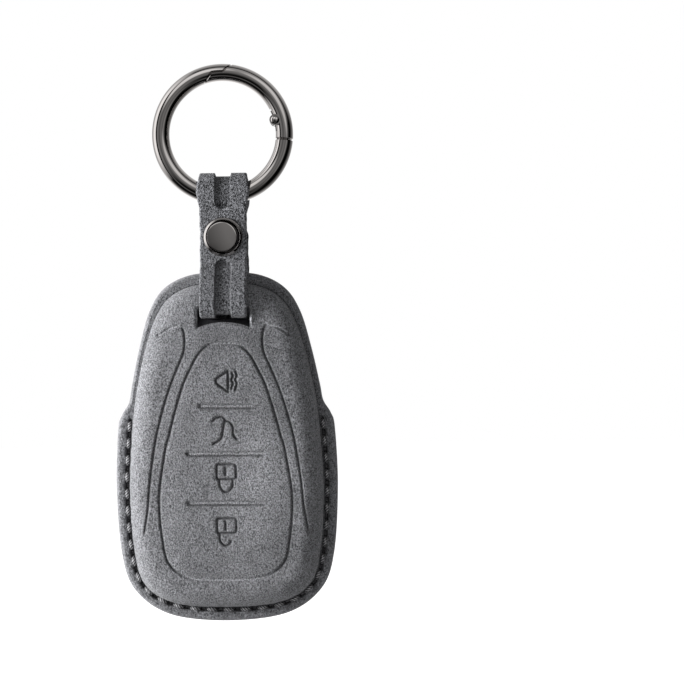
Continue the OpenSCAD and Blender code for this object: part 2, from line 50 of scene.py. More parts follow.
# ---- sizes of the object
RING_R, WIRE_R = 15.425, 2.175
STRAP_W, STRAP_T = 11.8, 1.85
LOOP_Z, LOOP_R = -14.605, 4.07
SNAP_Z, LEG_Y, INNER_Y = -25.805, 3.6, 1.75
TAB_HINGE_Z = -30.331
CHANNEL_W, CHANNEL_DEPTH = 3.8, 0.85
TOP_Z, HEIGHT, HALF_W = -34.505, 86.6, 27.55
CENTRE_Z = TOP_Z - .58 * HEIGHT       # where the inside of a half closes
SHOULDER_R, SHOULDER_H, CROWN, WALL = 5.5, 8.4, 0.6, 1.5
SHOULDER_FOOT = SHOULDER_H - SHOULDER_R
CROWN_REACH = 8.5                     # how far inside the shoulder the crown is full
SKIN_T, GAPE, GAPE_SHARE = 1.0, 2.5, .4
FLANGE_EDGE_T = .8                    # thickness of the flange that its edge rounds off
SLOT_TOP, SLOT_CORNER = -43.305, .3
FRONT_SLOT, REAR_SLOT = (12.9, 3.6, 1.3), (11.6, 2.25, 0.0)    # width, height and sag
STITCH_PITCH, STITCH_L, THREAD_R = 4.2, 2.3, .5
STITCH_GAP = (STITCH_PITCH - STITCH_L) / 2
THREAD_SHARE = .235                   # the thread's place between base and outer edge
SEAM_START = .42                      # the share of the height where the seam starts
LINE_DEPTH, BAR_RIDGE = .5, .2        # depth of the long grooves, height of a bar's ridge
PICTURE_W, PICTURE_DEPTH = .46, .62   # half the width of a picture's lines, and their depth

# Right half of each outline, from top to bottom: shares of the half width and the height
OUTER = [(0, 0), (.309, .007), (.544, .045), (.682, .114), (.777, .218), (.849, .322),
         (.878, .37), (.944, .406), (.98, .45), (1, .618), (.958, .807), (.838, .911),
         (.526, .98), (0, 1)]
BASE = [(0, .032), (.29, .039), (.497, .073), (.624, .133), (.722, .225), (.791, .322),
        (.817, .37), (.833, .41), (.846, .462), (.871, .618), (.838, .791), (.74, .893),
        (.465, .945), (0, .957)]
PANEL = [(0, .203), (.131, .208), (.225, .233), (.29, .269), (.367, .321), (.432, .387),
         (.465, .425), (.497, .465), (.534, .509), (.592, .641), (.566, .76), (.508, .828),
         (.327, .867), (0, .8745)]
# The curved line outside the panel, right half, from its tip to its lower end
SWOOSH = [(16, -50), (13.9, -48.65), (11.6, -47.9), (10.2, -48.15), (9.65, -49.7), (9.55, -52),
          (9.8, -54.2), (10.9, -56.9), (12.6, -60.9), (14.2, -65.3), (15.65, -70.2),
          (17.1, -76.3), (18.5, -85.4), (19.2, -92.8), (20.3, -99.4)]
BARS = [((-5.6, -67.45), (6.7, -67.6)), ((-8.7, -79.1), (9.3, -79.3)),
        ((-8.7, -91.2), (9.3, -91.4))]


# ---- lines and curves
def points_of(*parts):
    """Points from grids of coordinates; a number holds for all of them."""
    return np.stack(np.broadcast_arrays(*parts), axis=-1).reshape(-1, len(parts))


def smooth(t):
    """Zero below 0, one above 1, and 3t^2 - 2t^3 between them."""
    t = np.clip(t, 0, 1)
    return t * t * (3 - 2 * t)


def unit(vectors):
    return vectors / np.linalg.norm(vectors, axis=1)[:, None]


def beside(direction):
    """Unit normals to the right of a plane line's directions."""
    return unit(points_of(direction[:, 1], -direction[:, 0]))


def along(points):
    """Distance along a line at each of its points."""
    return np.concatenate([[0], np.cumsum(np.linalg.norm(np.diff(points, axis=0), axis=1))])


def evenly(points, step):
    """The line with its points about one step apart."""
    run = along(points)
    at = np.linspace(0, run[-1], max(2, int(round(run[-1] / step)) + 1))
    return points_of(*(np.interp(at, run, part) for part in points.T))


def through(knots, t, closed=False):
    """Catmull-Rom curve at parameter t: cubic spans, whose slope at a knot is half the
    chord between that knot's neighbours."""
    knots = np.asarray(knots, float)
    n = len(knots)
    i = np.floor(t).astype(int)
    f = (t - i)[:, None]
    pick = (lambda k: knots[k % n]) if closed else (lambda k: knots[np.clip(k, 0, n - 1)])
    a, b, c, d = pick(i - 1), pick(i), pick(i + 1), pick(i + 2)
    return 0.5 * (2 * b + f * (c - a) + f * f * (2 * a - 5 * b + 4 * c - d)
                  + f * f * f * (3 * b - a - 3 * c + d))


def curve(knots, step=.3):
    t = np.linspace(0, len(knots) - 1 - 1e-9, 24 * len(knots))
    return evenly(through(knots, t), step)


def to_line(points, line):
    """Distance from each point to a line, and how far along it the nearest place is."""
    best = np.full(len(points), np.inf)
    where = np.zeros(len(points))
    run = along(line)
    for k in range(len(line) - 1):
        a, ab = line[k], line[k + 1] - line[k]
        length2 = max(float(ab @ ab), 1e-12)
        f = np.clip(((points - a) @ ab) / length2, 0, 1)
        d = np.linalg.norm(points - a - f[:, None] * ab, axis=1)
        near = d < best
        best[near] = d[near]
        where[near] = (run[k] + f * sqrt(length2))[near]
    return best, where


def round_angles(count):
    return np.linspace(0, 2 * pi, count, endpoint=False)


def polar(radius, degree):
    """Points round the origin, in rows."""
    a = np.radians(degree)
    return points_of(radius * np.cos(a), radius * np.sin(a))


def circle_arc(centre, radius, a0, a1, steps=24):
    """Points on a circle from one angle to another, in degrees."""
    return np.array(centre) + polar(radius, np.linspace(a0, a1, steps + 1))


# ---- meshes and cuts
def link(name, data):
    """A new object of the scene."""
    made = bpy.data.objects.new(name, data)
    bpy.context.scene.collection.objects.link(made)
    return made


def add_layer(mesh, name, values):
    """Numbers that the mesh carries at its points."""
    layer = mesh.attributes.new(name, "FLOAT", "POINT")
    layer.data.foreach_set("value", np.asarray(values, np.float32))


def shade_smooth(mesh, sharp=None):
    """Smooth shading, but sharp at edges of more than a sharp angle in degrees."""
    mesh.polygons.foreach_set("use_smooth", np.ones(len(mesh.polygons), bool))
    if sharp:
        mesh.set_sharp_from_angle(angle=radians(sharp))


def make_piece(name, points, faces, material, sharp=None, **layers):
    """A mesh object from points in millimetres."""
    mesh = bpy.data.meshes.new(name)
    mesh.from_pydata((points * MM).tolist(), [], faces)
    for key, values in layers.items():
        add_layer(mesh, key, values)
    mesh.materials.append(material)
    mesh.update()
    shade_smooth(mesh, sharp)
    return link(name, mesh)


def places(mesh):
    """A mesh's points in millimetres."""
    return np.array([tuple(point.co) for point in mesh.vertices]) / MM


def grid_faces(rows, columns, first=0, wrap=False):
    """Quads of a grid of points in rows; wrap joins the last column to the first."""
    r = np.arange(rows - 1)[:, None]
    c = np.arange(columns if wrap else columns - 1)[None, :]
    a = first + r * columns + c
    b = first + r * columns + (c + 1) % columns
    return np.stack([a, b, b + columns, a + columns], axis=-1).reshape(-1, 4)


def flipped(faces):
    return [face[::-1] for face in faces]


def tube_faces(rows, columns, first=0):
    """Faces of a tube of rings with flat ends."""
    start = list(range(first, first + columns))
    end = list(range(first + (rows - 1) * columns, first + rows * columns))
    return grid_faces(rows, columns, first, True).tolist() + [start[::-1], end]


def hoop_faces(rows, columns, closed=True):
    """Quads between rings that run the other way; closed joins the last to the first."""
    quads = grid_faces(rows + closed, columns, 0, True)[:, [0, 3, 2, 1]] % (rows * columns)
    return quads.tolist()


def fan(first, count, tip):
    """Triangles from a ring of points to a tip."""
    k = first + np.arange(count)
    return np.stack([k, np.roll(k, -1), np.full(count, tip)], axis=1).tolist()


def spindle_faces(rings, count):
    """Faces of a stack of rings between the first and the last point."""
    tip = 1 + rings * count
    walls = grid_faces(rings, count, 1, True).tolist()
    return flipped(fan(1, count, 0)) + walls + fan(tip - count, count, tip)


def prism(outline_xz, start=-4.0, end=4.0, material=None, **layers):
    """An upright solid over a line in the XZ plane, from one y to another, with one value
    for each layer."""
    line = np.asarray(outline_xz, float)
    after = np.roll(line, -1, axis=0)
    line = line[::-1] if np.sum(line[:, 0] * after[:, 1] - after[:, 0] * line[:, 1]) > 0 else line
    n = len(line)
    points = np.vstack([points_of(line[:, 0], y, line[:, 1]) for y in (start, end)])
    faces = tube_faces(2, n)
    return make_piece("cutter", points, faces if start < end else flipped(faces),
                      material or GUNMETAL, **{k: np.full(2 * n, v) for k, v in layers.items()})


def apply_modifier(piece):
    """Puts the piece's modifier into its mesh."""
    graph = bpy.context.evaluated_depsgraph_get()
    piece.data = bpy.data.meshes.new_from_object(piece.evaluated_get(graph))
    piece.modifiers.clear()


def combine(piece, *others, operation="DIFFERENCE"):
    """Cuts, joins or crosses a closed piece with others in turn, and removes them."""
    for other in others:
        mod = piece.modifiers.new("combine", "BOOLEAN")
        mod.operation, mod.solver, mod.object = operation, "EXACT", other
        apply_modifier(piece)
        bpy.data.objects.remove(other)
    return piece


def sweep_slivers(piece):
    """Closes up the tiny edges and faces that the cuts leave behind."""
    least = .0015 * MM
    solid = bmesh.new()
    solid.from_mesh(piece.data)
    bmesh.ops.remove_doubles(solid, verts=solid.verts, dist=least)
    bmesh.ops.dissolve_degenerate(solid, edges=solid.edges, dist=least)
    solid.to_mesh(piece.data)
    solid.free()
    return piece


# ---- materials
class Nodes:
    """Builds a node tree; each call adds a node and gives one of its outputs."""

    def __init__(self, tree):
        self.tree = tree
        tree.nodes.clear()

    def fill(self, socket, value):
        if isinstance(value, bpy.types.NodeSocket):
            self.tree.links.new(value, socket)
        else:
            socket.default_value = value

    def add(self, kind, output=0, settings=(), **sockets):
        """A node with its settings; a socket is named in words, or by a number after _."""
        node = self.tree.nodes.new("ShaderNode" + kind)
        for key, value in dict(settings).items():
            setattr(node, key, value)
        for key, value in sockets.items():
            at = int(key[1:]) if key[1:].isdigit() else key.replace("_", " ")
            self.fill(node.inputs[at], value)
        return node.outputs[output] if len(node.outputs) else None

    def ramp(self, factor, stops):
        node = self.tree.nodes.new("ShaderNodeValToRGB")
        self.fill(node.inputs["Fac"], factor)
        elements = node.color_ramp.elements
        while len(elements) < len(stops):
            elements.new(0.5)
        for element, (place, colour) in zip(elements, stops):
            element.position = place
            element.color = (*colour, 1) if isinstance(colour, tuple) else (*(colour,) * 3, 1)
        return node.outputs["Color"]

    def mix(self, factor, a, b, kind="MIX"):
        node = self.tree.nodes.new("ShaderNodeMix")
        node.data_type, node.blend_type = "RGBA", kind
        for index, value in ((0, factor), (6, a), (7, b)):
            self.fill(node.inputs[index], (*value, 1) if isinstance(value, tuple) else value)
        return node.outputs[2]

    def times(self, a, b):
        return self.mix(1.0, a, b, "MULTIPLY")

    def maths(self, operation, *values):
        return self.add("Math", 0, {"operation": operation},
                        **{"_%d" % k: value for k, value in enumerate(values)})

    def layer(self, name):
        return self.add("Attribute", "Fac", {"attribute_name": name})

    def noise(self, place, size, detail=2.0, rough=0.5, distort=0.0):
        """Soft noise in patches of about a size in millimetres."""
        return self.add("TexNoise", "Fac", Vector=place, Scale=1 / (size * MM), Detail=detail,
                        Roughness=rough, Distortion=distort)

    def bump(self, strength, distance, height):
        return self.add("Bump", Strength=strength, Distance=distance * MM, Height=height)

    def surface(self, colour, roughness, normal, **more):
        shader = self.add("BsdfPrincipled", Base_Color=colour, Roughness=roughness,
                          Normal=normal, **more)
        self.add("OutputMaterial", Surface=shader)


def new_material(name):
    """A material, its nodes, and the place on the object."""
    material = bpy.data.materials.new(name)
    material.use_nodes = True
    n = Nodes(material.node_tree)
    return material, n, n.add("TexCoord", "Object")


def scaled(tone, share):
    return tuple(part * share for part in tone)


def suede(name, tone, grain, depth, contrast, tuft):
    """Napped suede: a speckle of the grain's size over soft patches; darker where its nap is
    pressed and where shade is painted, paler in a patch and where highlights are painted,
    and smooth where its cut edge is painted."""
    material, n, place = new_material(name)
    stretched = n.add("Mapping", Vector=place, Scale=(1.15, 1.0, .85))
    fine = n.noise(stretched, grain, 3.0, 0.6, 0.3)
    finer = n.noise(place, grain / 2.7, 2.0, 0.5, 0.2)
    tufts = n.noise(stretched, grain / .45, 2.0, 0.5, 0.6)
    patch, cloud = n.noise(place, 9), n.noise(place, 2.4, 2.0, 0.55)
    colour = n.ramp(fine, [(.36, scaled(tone, 1 - contrast)), (.5, tone),
                           (.64, scaled(tone, 1 + contrast))])
    colour = n.times(colour, n.ramp(patch, [(.35, .93), (.65, 1.07)]))
    colour = n.times(colour, n.ramp(cloud, [(.3, .94), (.7, 1.06)]))
    painted = n.layer("painted")
    # a pale patch and painted highlights: this layer lightens the colour up to 2.2 times
    colour = n.mix(n.layer("brushed"), colour, n.times(colour, (2.2, 2.2, 2.2)))
    # pressed nap and painted shade: this layer darkens the colour towards a fifth of the tone
    colour = n.mix(n.layer("pressed"), colour, scaled(tone, .2))
    colour = n.mix(painted, colour, (.18, .18, .19))
    height = n.maths("MULTIPLY_ADD", finer, .35, fine)
    height = n.maths("MULTIPLY_ADD", tufts, tuft, height)
    height = n.maths("MULTIPLY", height, n.maths("SUBTRACT", 1.0, painted))
    n.surface(colour, .88, n.bump(.9, depth, height), Specular_IOR_Level=.18, Sheen_Weight=.22,
              Sheen_Roughness=.45, Sheen_Tint=(.8, .8, .82, 1))
    return material


def metal(name, tone, roughness, scratch):
    """Plated metal: its roughness drifts over faint smears, with very fine scratches, and
    painted shade darkens it to near black where its layer marks a groove."""
    material, n, place = new_material(name)
    smear = n.noise(place, 3.5, 3.0, 0.6)
    rough = n.ramp(smear, [(.3, roughness * .8), (.7, roughness * 1.35)])
    scratches = n.bump(scratch, .02, n.noise(place, .12, 2.0, 0.7))
    # painted shade: near black where the layer marks a groove
    colour = n.mix(n.layer("deep"), tone, scaled(tone, .07))
    n.surface(colour, rough, scratches, Metallic=1.0)
    return material


def waxed_thread():
    """Dark glossy waxed thread: near black, with painted glints, greyer, on the plies' backs."""
    material, n, place = new_material("waxed_thread")
    fibre = n.noise(place, .1, 2.0, 0.6)
    # painted glints on the plies' backs
    colour = n.mix(n.layer("ply"), (.018, .018, .019), (.38, .38, .395))
    colour = n.times(colour, n.ramp(fibre, [(.3, .75), (.7, 1.3)]))
    n.surface(colour, .22, n.bump(.3, .03, fibre), Specular_IOR_Level=1.0)
    return material


def flocked_cloth():
    """Thin dark flocked lining with a fine even nap."""
    material, n, place = new_material("flocked_cloth")
    nap = n.noise(place, .28, 2.0, 0.55)
    colour = n.ramp(nap, [(.3, (.045, .045, .05)), (.7, (.08, .08, .086))])
    n.surface(colour, .95, n.bump(.5, .06, nap), Specular_IOR_Level=.1, Sheen_Weight=.15,
              Sheen_Tint=(.5, .5, .52, 1))
    return material


COVER_SUEDE = suede("cover_suede", (.177, .179, .189), .33, .36, .7, .6)
STRAP_SUEDE = suede("strap_suede", (.130, .132, .141), .38, .25, 1.05, 1.0)
LINING = flocked_cloth()
THREAD = waxed_thread()
GUNMETAL = metal("gunmetal", (.42, .40, .39), .035, .006)
SATIN = metal("gunmetal_satin", (.34, .32, .31), .24, .05)
STEEL = metal("bright_nickel", (.62, .61, .6), .2, .05)


# ---- the cover's halves
CORNERS = (23, 29, 37, 41, 49)        # knots where the face's grid has its corners
GRID_ANGLE = 45                       # where the face's grid ends on the shoulder


def outline(shares):
    """Knots of a whole outline, clockwise from the top as seen from the front."""
    half = np.array(shares) * (HALF_W, -HEIGHT) + (0, TOP_Z)
    return np.vstack([half, half[-2:0:-1] * (-1, 1)])


def traced(shares, t):
    """Points of a whole outline at curve parameters."""
    return through(outline(shares), t, closed=True)


def lap(count):
    """Curve parameters once round an outline."""
    return np.linspace(0, 2 * len(BASE) - 2, count)


def ring_parameters(columns, rows):
    """Curve parameters round the cover, evenly spaced along the base line on each side of
    the face's grid: top, right, bottom and left."""
    found = []
    for start, end, count in zip(CORNERS[:-1], CORNERS[1:], (columns, rows, columns, rows)):
        t = np.linspace(start, end, 1200)
        run = along(traced(BASE, t))
        found.append(np.interp(np.linspace(0, run[-1], count, endpoint=False), run, t))
    return np.concatenate(found)


def inset(ring, distance):
    """A closed ring moved inwards along the right-hand normals of its chords."""
    normal = beside(np.roll(ring, -1, axis=0) - np.roll(ring, 1, axis=0))
    return ring + normal * np.reshape(distance, (-1, 1) if np.ndim(distance) else (1, 1))


def depth_share(z):
    return (TOP_Z - z) / HEIGHT


def opened(z):
    """How far each half lifts at the mouth: half a cosine wave."""
    return GAPE * (1 + np.cos(pi * np.minimum(depth_share(z) / GAPE_SHARE, 1))) / 2


def lifted(flat, height, e=0.0):
    """Points of a half from a flat ring and its height. The lift at the mouth fades from
    the whole at the flange to none at the face."""
    height = np.broadcast_to(height, len(flat))
    share = np.clip((SHOULDER_H - e - height) / (SHOULDER_H - WALL), 0, 1)
    return points_of(flat[:, 0], -height - share * opened(flat[:, 1]), flat[:, 1])


def square_indices(columns, rows):
    """Numbers of a grid's points: its border round from the top left, then the rest."""
    n = 2 * (columns + rows)
    index = np.zeros((rows + 1, columns + 1), int)
    index[1:-1, 1:-1] = n + np.arange((rows - 1) * (columns - 1)).reshape(rows - 1, columns - 1)
    index[0] = np.arange(columns + 1)
    index[:, -1] = columns + np.arange(rows + 1)
    index[-1, ::-1] = columns + rows + np.arange(columns + 1)
    index[::-1, 0] = (2 * columns + rows + np.arange(rows + 1)) % n
    return index


def blended_square(ring, index):
    """A ring and the grid inside it: the sum of the two straight blends between opposite
    sides, less the bilinear blend of the corners."""
    top, bottom, left, right = (ring[k] for k in (index[0], index[-1], index[:, 0], index[:, -1]))
    u = np.linspace(0, 1, len(top))[None, :, None]
    v = np.linspace(0, 1, len(left))[:, None, None]
    sides = (1 - v) * top[None] + v * bottom[None] + (1 - u) * left[:, None] + u * right[:, None]
    corners = ((1 - u) * (1 - v) * top[0] + u * (1 - v) * top[-1]
               + (1 - u) * v * bottom[0] + u * v * bottom[-1])
    return np.vstack([ring, (sides - corners)[1:-1, 1:-1].reshape(-1, 2)])


BASE_LINE = evenly(traced(BASE, lap(800)), .6)


def face_height(flat):
    """Height of the moulded surface: a quarter circle rises from the base line, then a slow
    crown goes up to the middle."""
    d, _ = to_line(flat, BASE_LINE)
    down = np.clip(SHOULDER_R - d, 0, SHOULDER_R)
    rise = SHOULDER_FOOT + np.sqrt(np.clip(SHOULDER_R ** 2 - down ** 2, 0, None))
    return rise + CROWN * smooth((d - SHOULDER_R) / CROWN_REACH)


def groove(flat, line, half_width, depth, fade=0.0):
    """Depth of a pressed line: a smooth dip across it, shallower within the fade length of
    its ends."""
    d, where = to_line(flat, line)
    ends = 1.0
    if fade:
        ends = smooth(np.minimum(where, along(line)[-1] - where) / fade + .25)
    return depth * ends * (1 - smooth(d / half_width))


def dimple(flat, centre, radius, depth):
    """A round dip: deepest in its middle, level at its rim."""
    return depth * (1 - smooth(np.linalg.norm(flat - np.array(centre), axis=1) / radius))


def rounded_box(x, z, w, h, r=.55):
    """Closed line of a box with rounded corners."""
    right, left, top, low = x + w / 2 - r, x - w / 2 + r, z + h / 2 - r, z - h / 2 + r
    line = np.vstack([circle_arc(centre, r, start, start - 90, 5) for centre, start in (
        ((right, top), 90), ((right, low), 0), ((left, low), -90), ((left, top), 180))])
    return np.vstack([line, line[:1]])


def pictures():
    """The pressed lines of the four small pictures: a lamp, an open boot, a closed padlock
    and an open padlock, each upside down."""
    lamp = [np.array([(1.0, -58.9), (-2.0, -60.9), (-2.0, -61.8), (1.0, -64.0), (1.0, -58.9)])]
    lamp += [curve([(1.9 + k, -59.3 + .3 * s), (2.2 + k, -60.1), (1.8 + k, -61.0),
                    (2.2 + k, -61.9), (1.8 + k, -63.2 - .3 * s)]) for k, s in ((0, 0), (.95, 1))]
    boot = [curve([(-3.0, -71.15), (-1.9, -70.35), (-.6, -70.15), (.15, -70.9), (-.2, -72.2),
                   (-.45, -73.7), (-.75, -75.2), (-1.6, -76.1), (-2.9, -76.75)]),
            curve([(.3, -71.1), (1.5, -71.6), (2.05, -72.9), (2.05, -74.5), (2.9, -75.6)])]
    lock = [rounded_box(.25, -83.6, 4.7, 3.7), np.array([(.0, -82.6), (.0, -84.4)]),
            curve([(-1.4, -85.4), (-1.4, -87.0), (-.6, -88.3), (.25, -88.6), (1.1, -88.2),
                   (1.75, -87.0), (1.75, -85.5)])]
    free = [rounded_box(.18, -96.8, 4.7, 3.6), np.array([(-.1, -95.9), (-.1, -97.8)]),
            curve([(-1.5, -98.6), (-1.5, -100.2), (-.9, -101.3), (0, -101.7), (.8, -101.4),
                   (1.1, -100.7)])]
    return lamp + boot + lock + free


def level_share(flat, line):
    """How level the nearest stretch of a line runs, from 0 to 1."""
    _, where = to_line(flat, line)
    slope = np.abs(np.gradient(line[:, 0], along(line)))
    return np.interp(where, along(line), slope) ** 6


def front_relief(flat):
    """How deep the front lies below the plain surface, how far it is darkened by pressed nap
    and painted shade, and how far it is lit by painted highlight. The panel's outline, the
    curved lines, the bars and the pictures are grooves, with a thin ridge where they run
    level, and the slot's right end has a stiff lip. The painted shade lies in the grooves,
    less where they run level, and in a patch below the slot; the painted highlight lies on
    the level ridges, the bars' ridges and the lip."""
    right = curve(SWOOSH)
    lines = evenly(traced(PANEL, lap(900)), .3), right, right * (-1, 1)
    depth = groove(flat, lines[0], .47, LINE_DEPTH)
    for line in lines[1:]:
        depth = np.maximum(depth, groove(flat, line, .45, .48, fade=2.2))
        depth = np.maximum(depth, dimple(flat, line[0], .8, LINE_DEPTH))
    near = depth / LINE_DEPTH
    level = np.zeros(len(flat))
    for line in lines:
        close = groove(flat, line, .9, 1.0) > 0
        level[close] = level_share(flat[close], line)
    # painted highlight along the thin ridge where a groove runs level
    lit = level * np.maximum.reduce([groove(flat, line, .34, 1.0) for line in lines])
    depth = depth - .25 * lit
    # pressed nap and painted shade in the grooves, less where they run level
    shade = near * (.8 - .5 * level) * (1 - lit)
    for start, end in BARS:
        bar = np.array([start, end])
        lower, upper = groove(flat, bar - (0, .5), .5, .42), groove(flat, bar + (0, .5), .42, .2)
        ridge = groove(flat, bar, .32, BAR_RIDGE)
        end_dip = dimple(flat, np.array(start) - (.3, 0), 1.0, LINE_DEPTH)
        pressed = np.maximum(np.maximum(lower, upper), end_dip)
        depth = np.maximum(depth, pressed) - ridge
        # pressed nap and painted shade in a bar's grooves; painted highlight on its ridge
        shade = np.maximum(shade, pressed / LINE_DEPTH * (1 - ridge / BAR_RIDGE) * .8)
        lit = np.maximum(lit, .6 * ridge / BAR_RIDGE * (1 - end_dip / LINE_DEPTH))
    for line in pictures():
        pressed = groove(flat, line, PICTURE_W, PICTURE_DEPTH)
        depth = np.maximum(depth, pressed)
        # pressed nap and painted shade in the pictures' lines
        shade = np.maximum(shade, pressed / PICTURE_DEPTH * .8)
    # the slot's right end: a raised lip with a painted highlight
    lip = np.exp(-((flat[:, 0] - 6.85) / .3) ** 2 - ((flat[:, 1] + 45.9) / 1.2) ** 4)
    depth, lit = depth - .6 * lip, np.maximum(lit, lip)
    # painted shade in a patch below the slot
    below_slot = np.exp(-(flat[:, 0] / 9) ** 4 - ((flat[:, 1] + 50.5) / 4) ** 4)
    return depth, np.clip(shade + .24 * below_slot, 0, 1), lit


def no_relief(flat):
    return (np.zeros(len(flat)),) * 3


def slot_line(width, height, sag):
    """Outline of a slot: straight above, and arched below, so that its ends hang lower."""
    x, half = np.linspace(1, -1, 33), width / 2
    lower = points_of(x * half, SLOT_TOP - height - sag * x * x)
    r = SLOT_CORNER
    return np.vstack([[(-half + r, SLOT_TOP), (half - r, SLOT_TOP), (half, SLOT_TOP - r)],
                      lower, [(-half, SLOT_TOP - r)]])


def cut_slot(piece, slot, side, material, **layers):
    """Cuts the slot through one half, and shades what is left."""
    cutter = prism(slot_line(*slot), side * 12.0, side * 4.0, material, **layers)
    shade_smooth(sweep_slivers(combine(piece, cutter)).data, 48)
    return piece


def thread_line(t):
    """The stitched line, between the base line and the outer edge."""
    return traced(BASE, t) * (1 - THREAD_SHARE) + traced(OUTER, t) * THREAD_SHARE


def thread_route():
    """The stitched line from its left end round the bottom to its right end, and the
    distances along it at which the stitches start."""
    ring = thread_line(lap(1600))
    route = evenly(ring[depth_share(ring[:, 1]) > SEAM_START], .2)
    total = along(route)[-1]
    count = int((total - STITCH_L) // STITCH_PITCH)
    start = (total - STITCH_L - count * STITCH_PITCH) / 2
    return route, start + STITCH_PITCH * np.arange(count + 1)


ROUTE, STITCHES = thread_route()


def shoulder(base, degree, e=0.0):
    """Flat ring and height on the shoulder's quarter circle, e inside the surface; the
    angle runs from the top, 0, down to the base line, 90."""
    a, r = radians(degree), SHOULDER_R - e
    return inset(base, SHOULDER_R - r * sin(a)), SHOULDER_FOOT + r * cos(a)


def flange_rings(t):
    """Rows of a flat ring, its height, how far it is darkened by pressed nap and painted shade,
    and how far its edge is painted: over the shoulder, the flange with its sunk stitched
    channel, and the rounded painted edge. The painted shade lies in the crease at the
    shoulder's foot, along the channel and darkest in the stitch holes, with a light even
    darkening over the flange."""
    base, outer = traced(BASE, t), traced(OUTER, t)
    rows = [(*shoulder(base, a), 0, 0) for a in (54, 63, 72, 81, 90)]
    # painted shade in the crease where the shoulder meets the flange
    rows += [(base, WALL + .5, .1, 0), (inset(base, -.05), WALL - .1, .75, 0)]
    width = np.linalg.norm(outer - base, axis=1)
    edge = np.minimum(.85, .42 * width)
    sunk = smooth((depth_share(base[:, 1]) - .4) / .03)
    d, where = to_line(thread_line(t), ROUTE)
    holes = np.append(STITCHES - STITCH_GAP, STITCHES[-1] + STITCH_L + STITCH_GAP)
    gap = np.abs(where[:, None] - holes[None]).min(axis=1)
    # the stitch holes: dips with painted shade in them
    hole = (1 - smooth((gap - .35) / 1.05)) * (d < .3)
    for s in (.04, .08, .13, .18, .235, .29, .34, .39, .44):
        across = 1 - smooth(np.abs(s - THREAD_SHARE) / .19)
        wide = 1 - smooth((np.abs(s - THREAD_SHARE) - .06) / .17)
        depth = sunk * (.42 * smooth(across * 1.6) + .6 * hole * wide)
        # pressed nap and painted shade: some along the channel, most in the holes
        near = sunk * np.clip(.3 * across + 1.0 * hole * wide + .12, 0, 1)
        rows.append((base + (outer - base) * s, WALL - depth - .1 * (s < .05),
                     np.maximum(near, .5 * (1 - smooth(s / .12))), 0))
    for k in (.35, .7):
        s = (.44 + (1 - edge / width - .44) * k)[:, None]
        rows.append((base + (outer - base) * s, WALL + .03, .12, 0))
    for a, paint in ((0, .05), (22, .25), (45, .5), (67, .7), (90, .8)):
        a = radians(a)
        rows.append((inset(outer, edge * (1 - sin(a))), WALL - FLANGE_EDGE_T * (1 - cos(a)),
                     0, paint))
    rows += [(outer, .12, 0, .8), (inset(outer, .1), .02, .3, .8)]
    return rows


def inner_rings(t, e):
    """The same rows up the inside of a layer e thick, from the flange to the shoulder."""
    base, outer = traced(BASE, t), traced(OUTER, t)
    rows = [(inset(outer, .55), .02), (inset(outer, .6), WALL - e),
            (inset(base, e), WALL - e), (inset(base, e), SHOULDER_FOOT)]
    rows += [shoulder(base, a, e) for a in (60, 30, 0)]
    return [(*row, .4, 0) for row in rows]


def on_side(side, points, faces):
    """Stacked points and faces, mirrored in the seam plane for the back half."""
    points = np.vstack(points)
    return (points * (1, -1, 1), flipped(faces)) if side > 0 else (points, faces)


def half_shell(name, side, relief, columns, rows, slot):
    """One suede half: a blended square over the outline, raised to the face's height less
    the relief. Rings go on from its border round the flange to the inside, and close on a
    point."""
    t = ring_parameters(columns, rows)
    n, g = len(t), square_indices(columns, rows)
    flat = blended_square(shoulder(traced(BASE, t), GRID_ANGLE)[0], g)
    depth, pressed, lit = relief(flat)
    line = slot_line(*slot)
    rim, _ = to_line(flat, np.vstack([line, line[:1]]))
    depth = depth + .3 * (1 - smooth(rim / .7))
    # painted shade round the slot's rim, none where a highlight is painted
    pressed = np.maximum(pressed, .5 * (1 - smooth(rim / .5)) * (1 - np.clip(2 * lit, 0, 1)))
    wave = (.05 * np.sin(flat[:, 0] * .9 + 1.3) * np.sin(flat[:, 1] * .55)
            * smooth(depth_share(flat[:, 1])))
    points = [lifted(flat, face_height(flat) - depth + wave)]
    shades, paints = [pressed], [np.zeros(len(flat))]
    faces = [np.stack([g[:-1, :-1], g[1:, :-1], g[1:, 1:], g[:-1, 1:]], axis=-1).reshape(-1, 4)]
    previous, total = np.arange(n), len(flat)
    stack = [(0.0, row) for row in flange_rings(t)]
    stack += [(SKIN_T, row) for row in inner_rings(t, SKIN_T)]
    for e, (ring, height, shade, paint) in stack:
        points.append(lifted(ring, height, e))
        shades.append(np.broadcast_to(shade, n))
        paints.append(np.broadcast_to(paint, n))
        now = total + np.arange(n)
        faces.append(np.stack([previous, np.roll(previous, -1), np.roll(now, -1), now], axis=1))
        previous, total = now, total + n
    points.append([(0, -(SHOULDER_H + CROWN - SKIN_T), CENTRE_Z)])
    points, faces = on_side(side, points, np.vstack(faces).tolist() + fan(total - n, n, total))
    x, y, z = points.T
    # lighter colour: a pale patch low on the front's right, and the painted highlights of the
    # relief
    brushed = .375 * np.exp(-(((x - 9) / 9) ** 2 + ((z + 86) / 13) ** 2)) * (y < 0)
    brushed[:len(lit)] = np.maximum(brushed[:len(lit)], lit)
    piece = make_piece(name, points, faces, COVER_SUEDE, pressed=np.concatenate(shades + [[.4]]),
                       painted=np.concatenate(paints + [[0]]), brushed=brushed)
    # the slot's cut walls get painted shade
    return cut_slot(piece, slot, side, COVER_SUEDE, pressed=.8, painted=0)


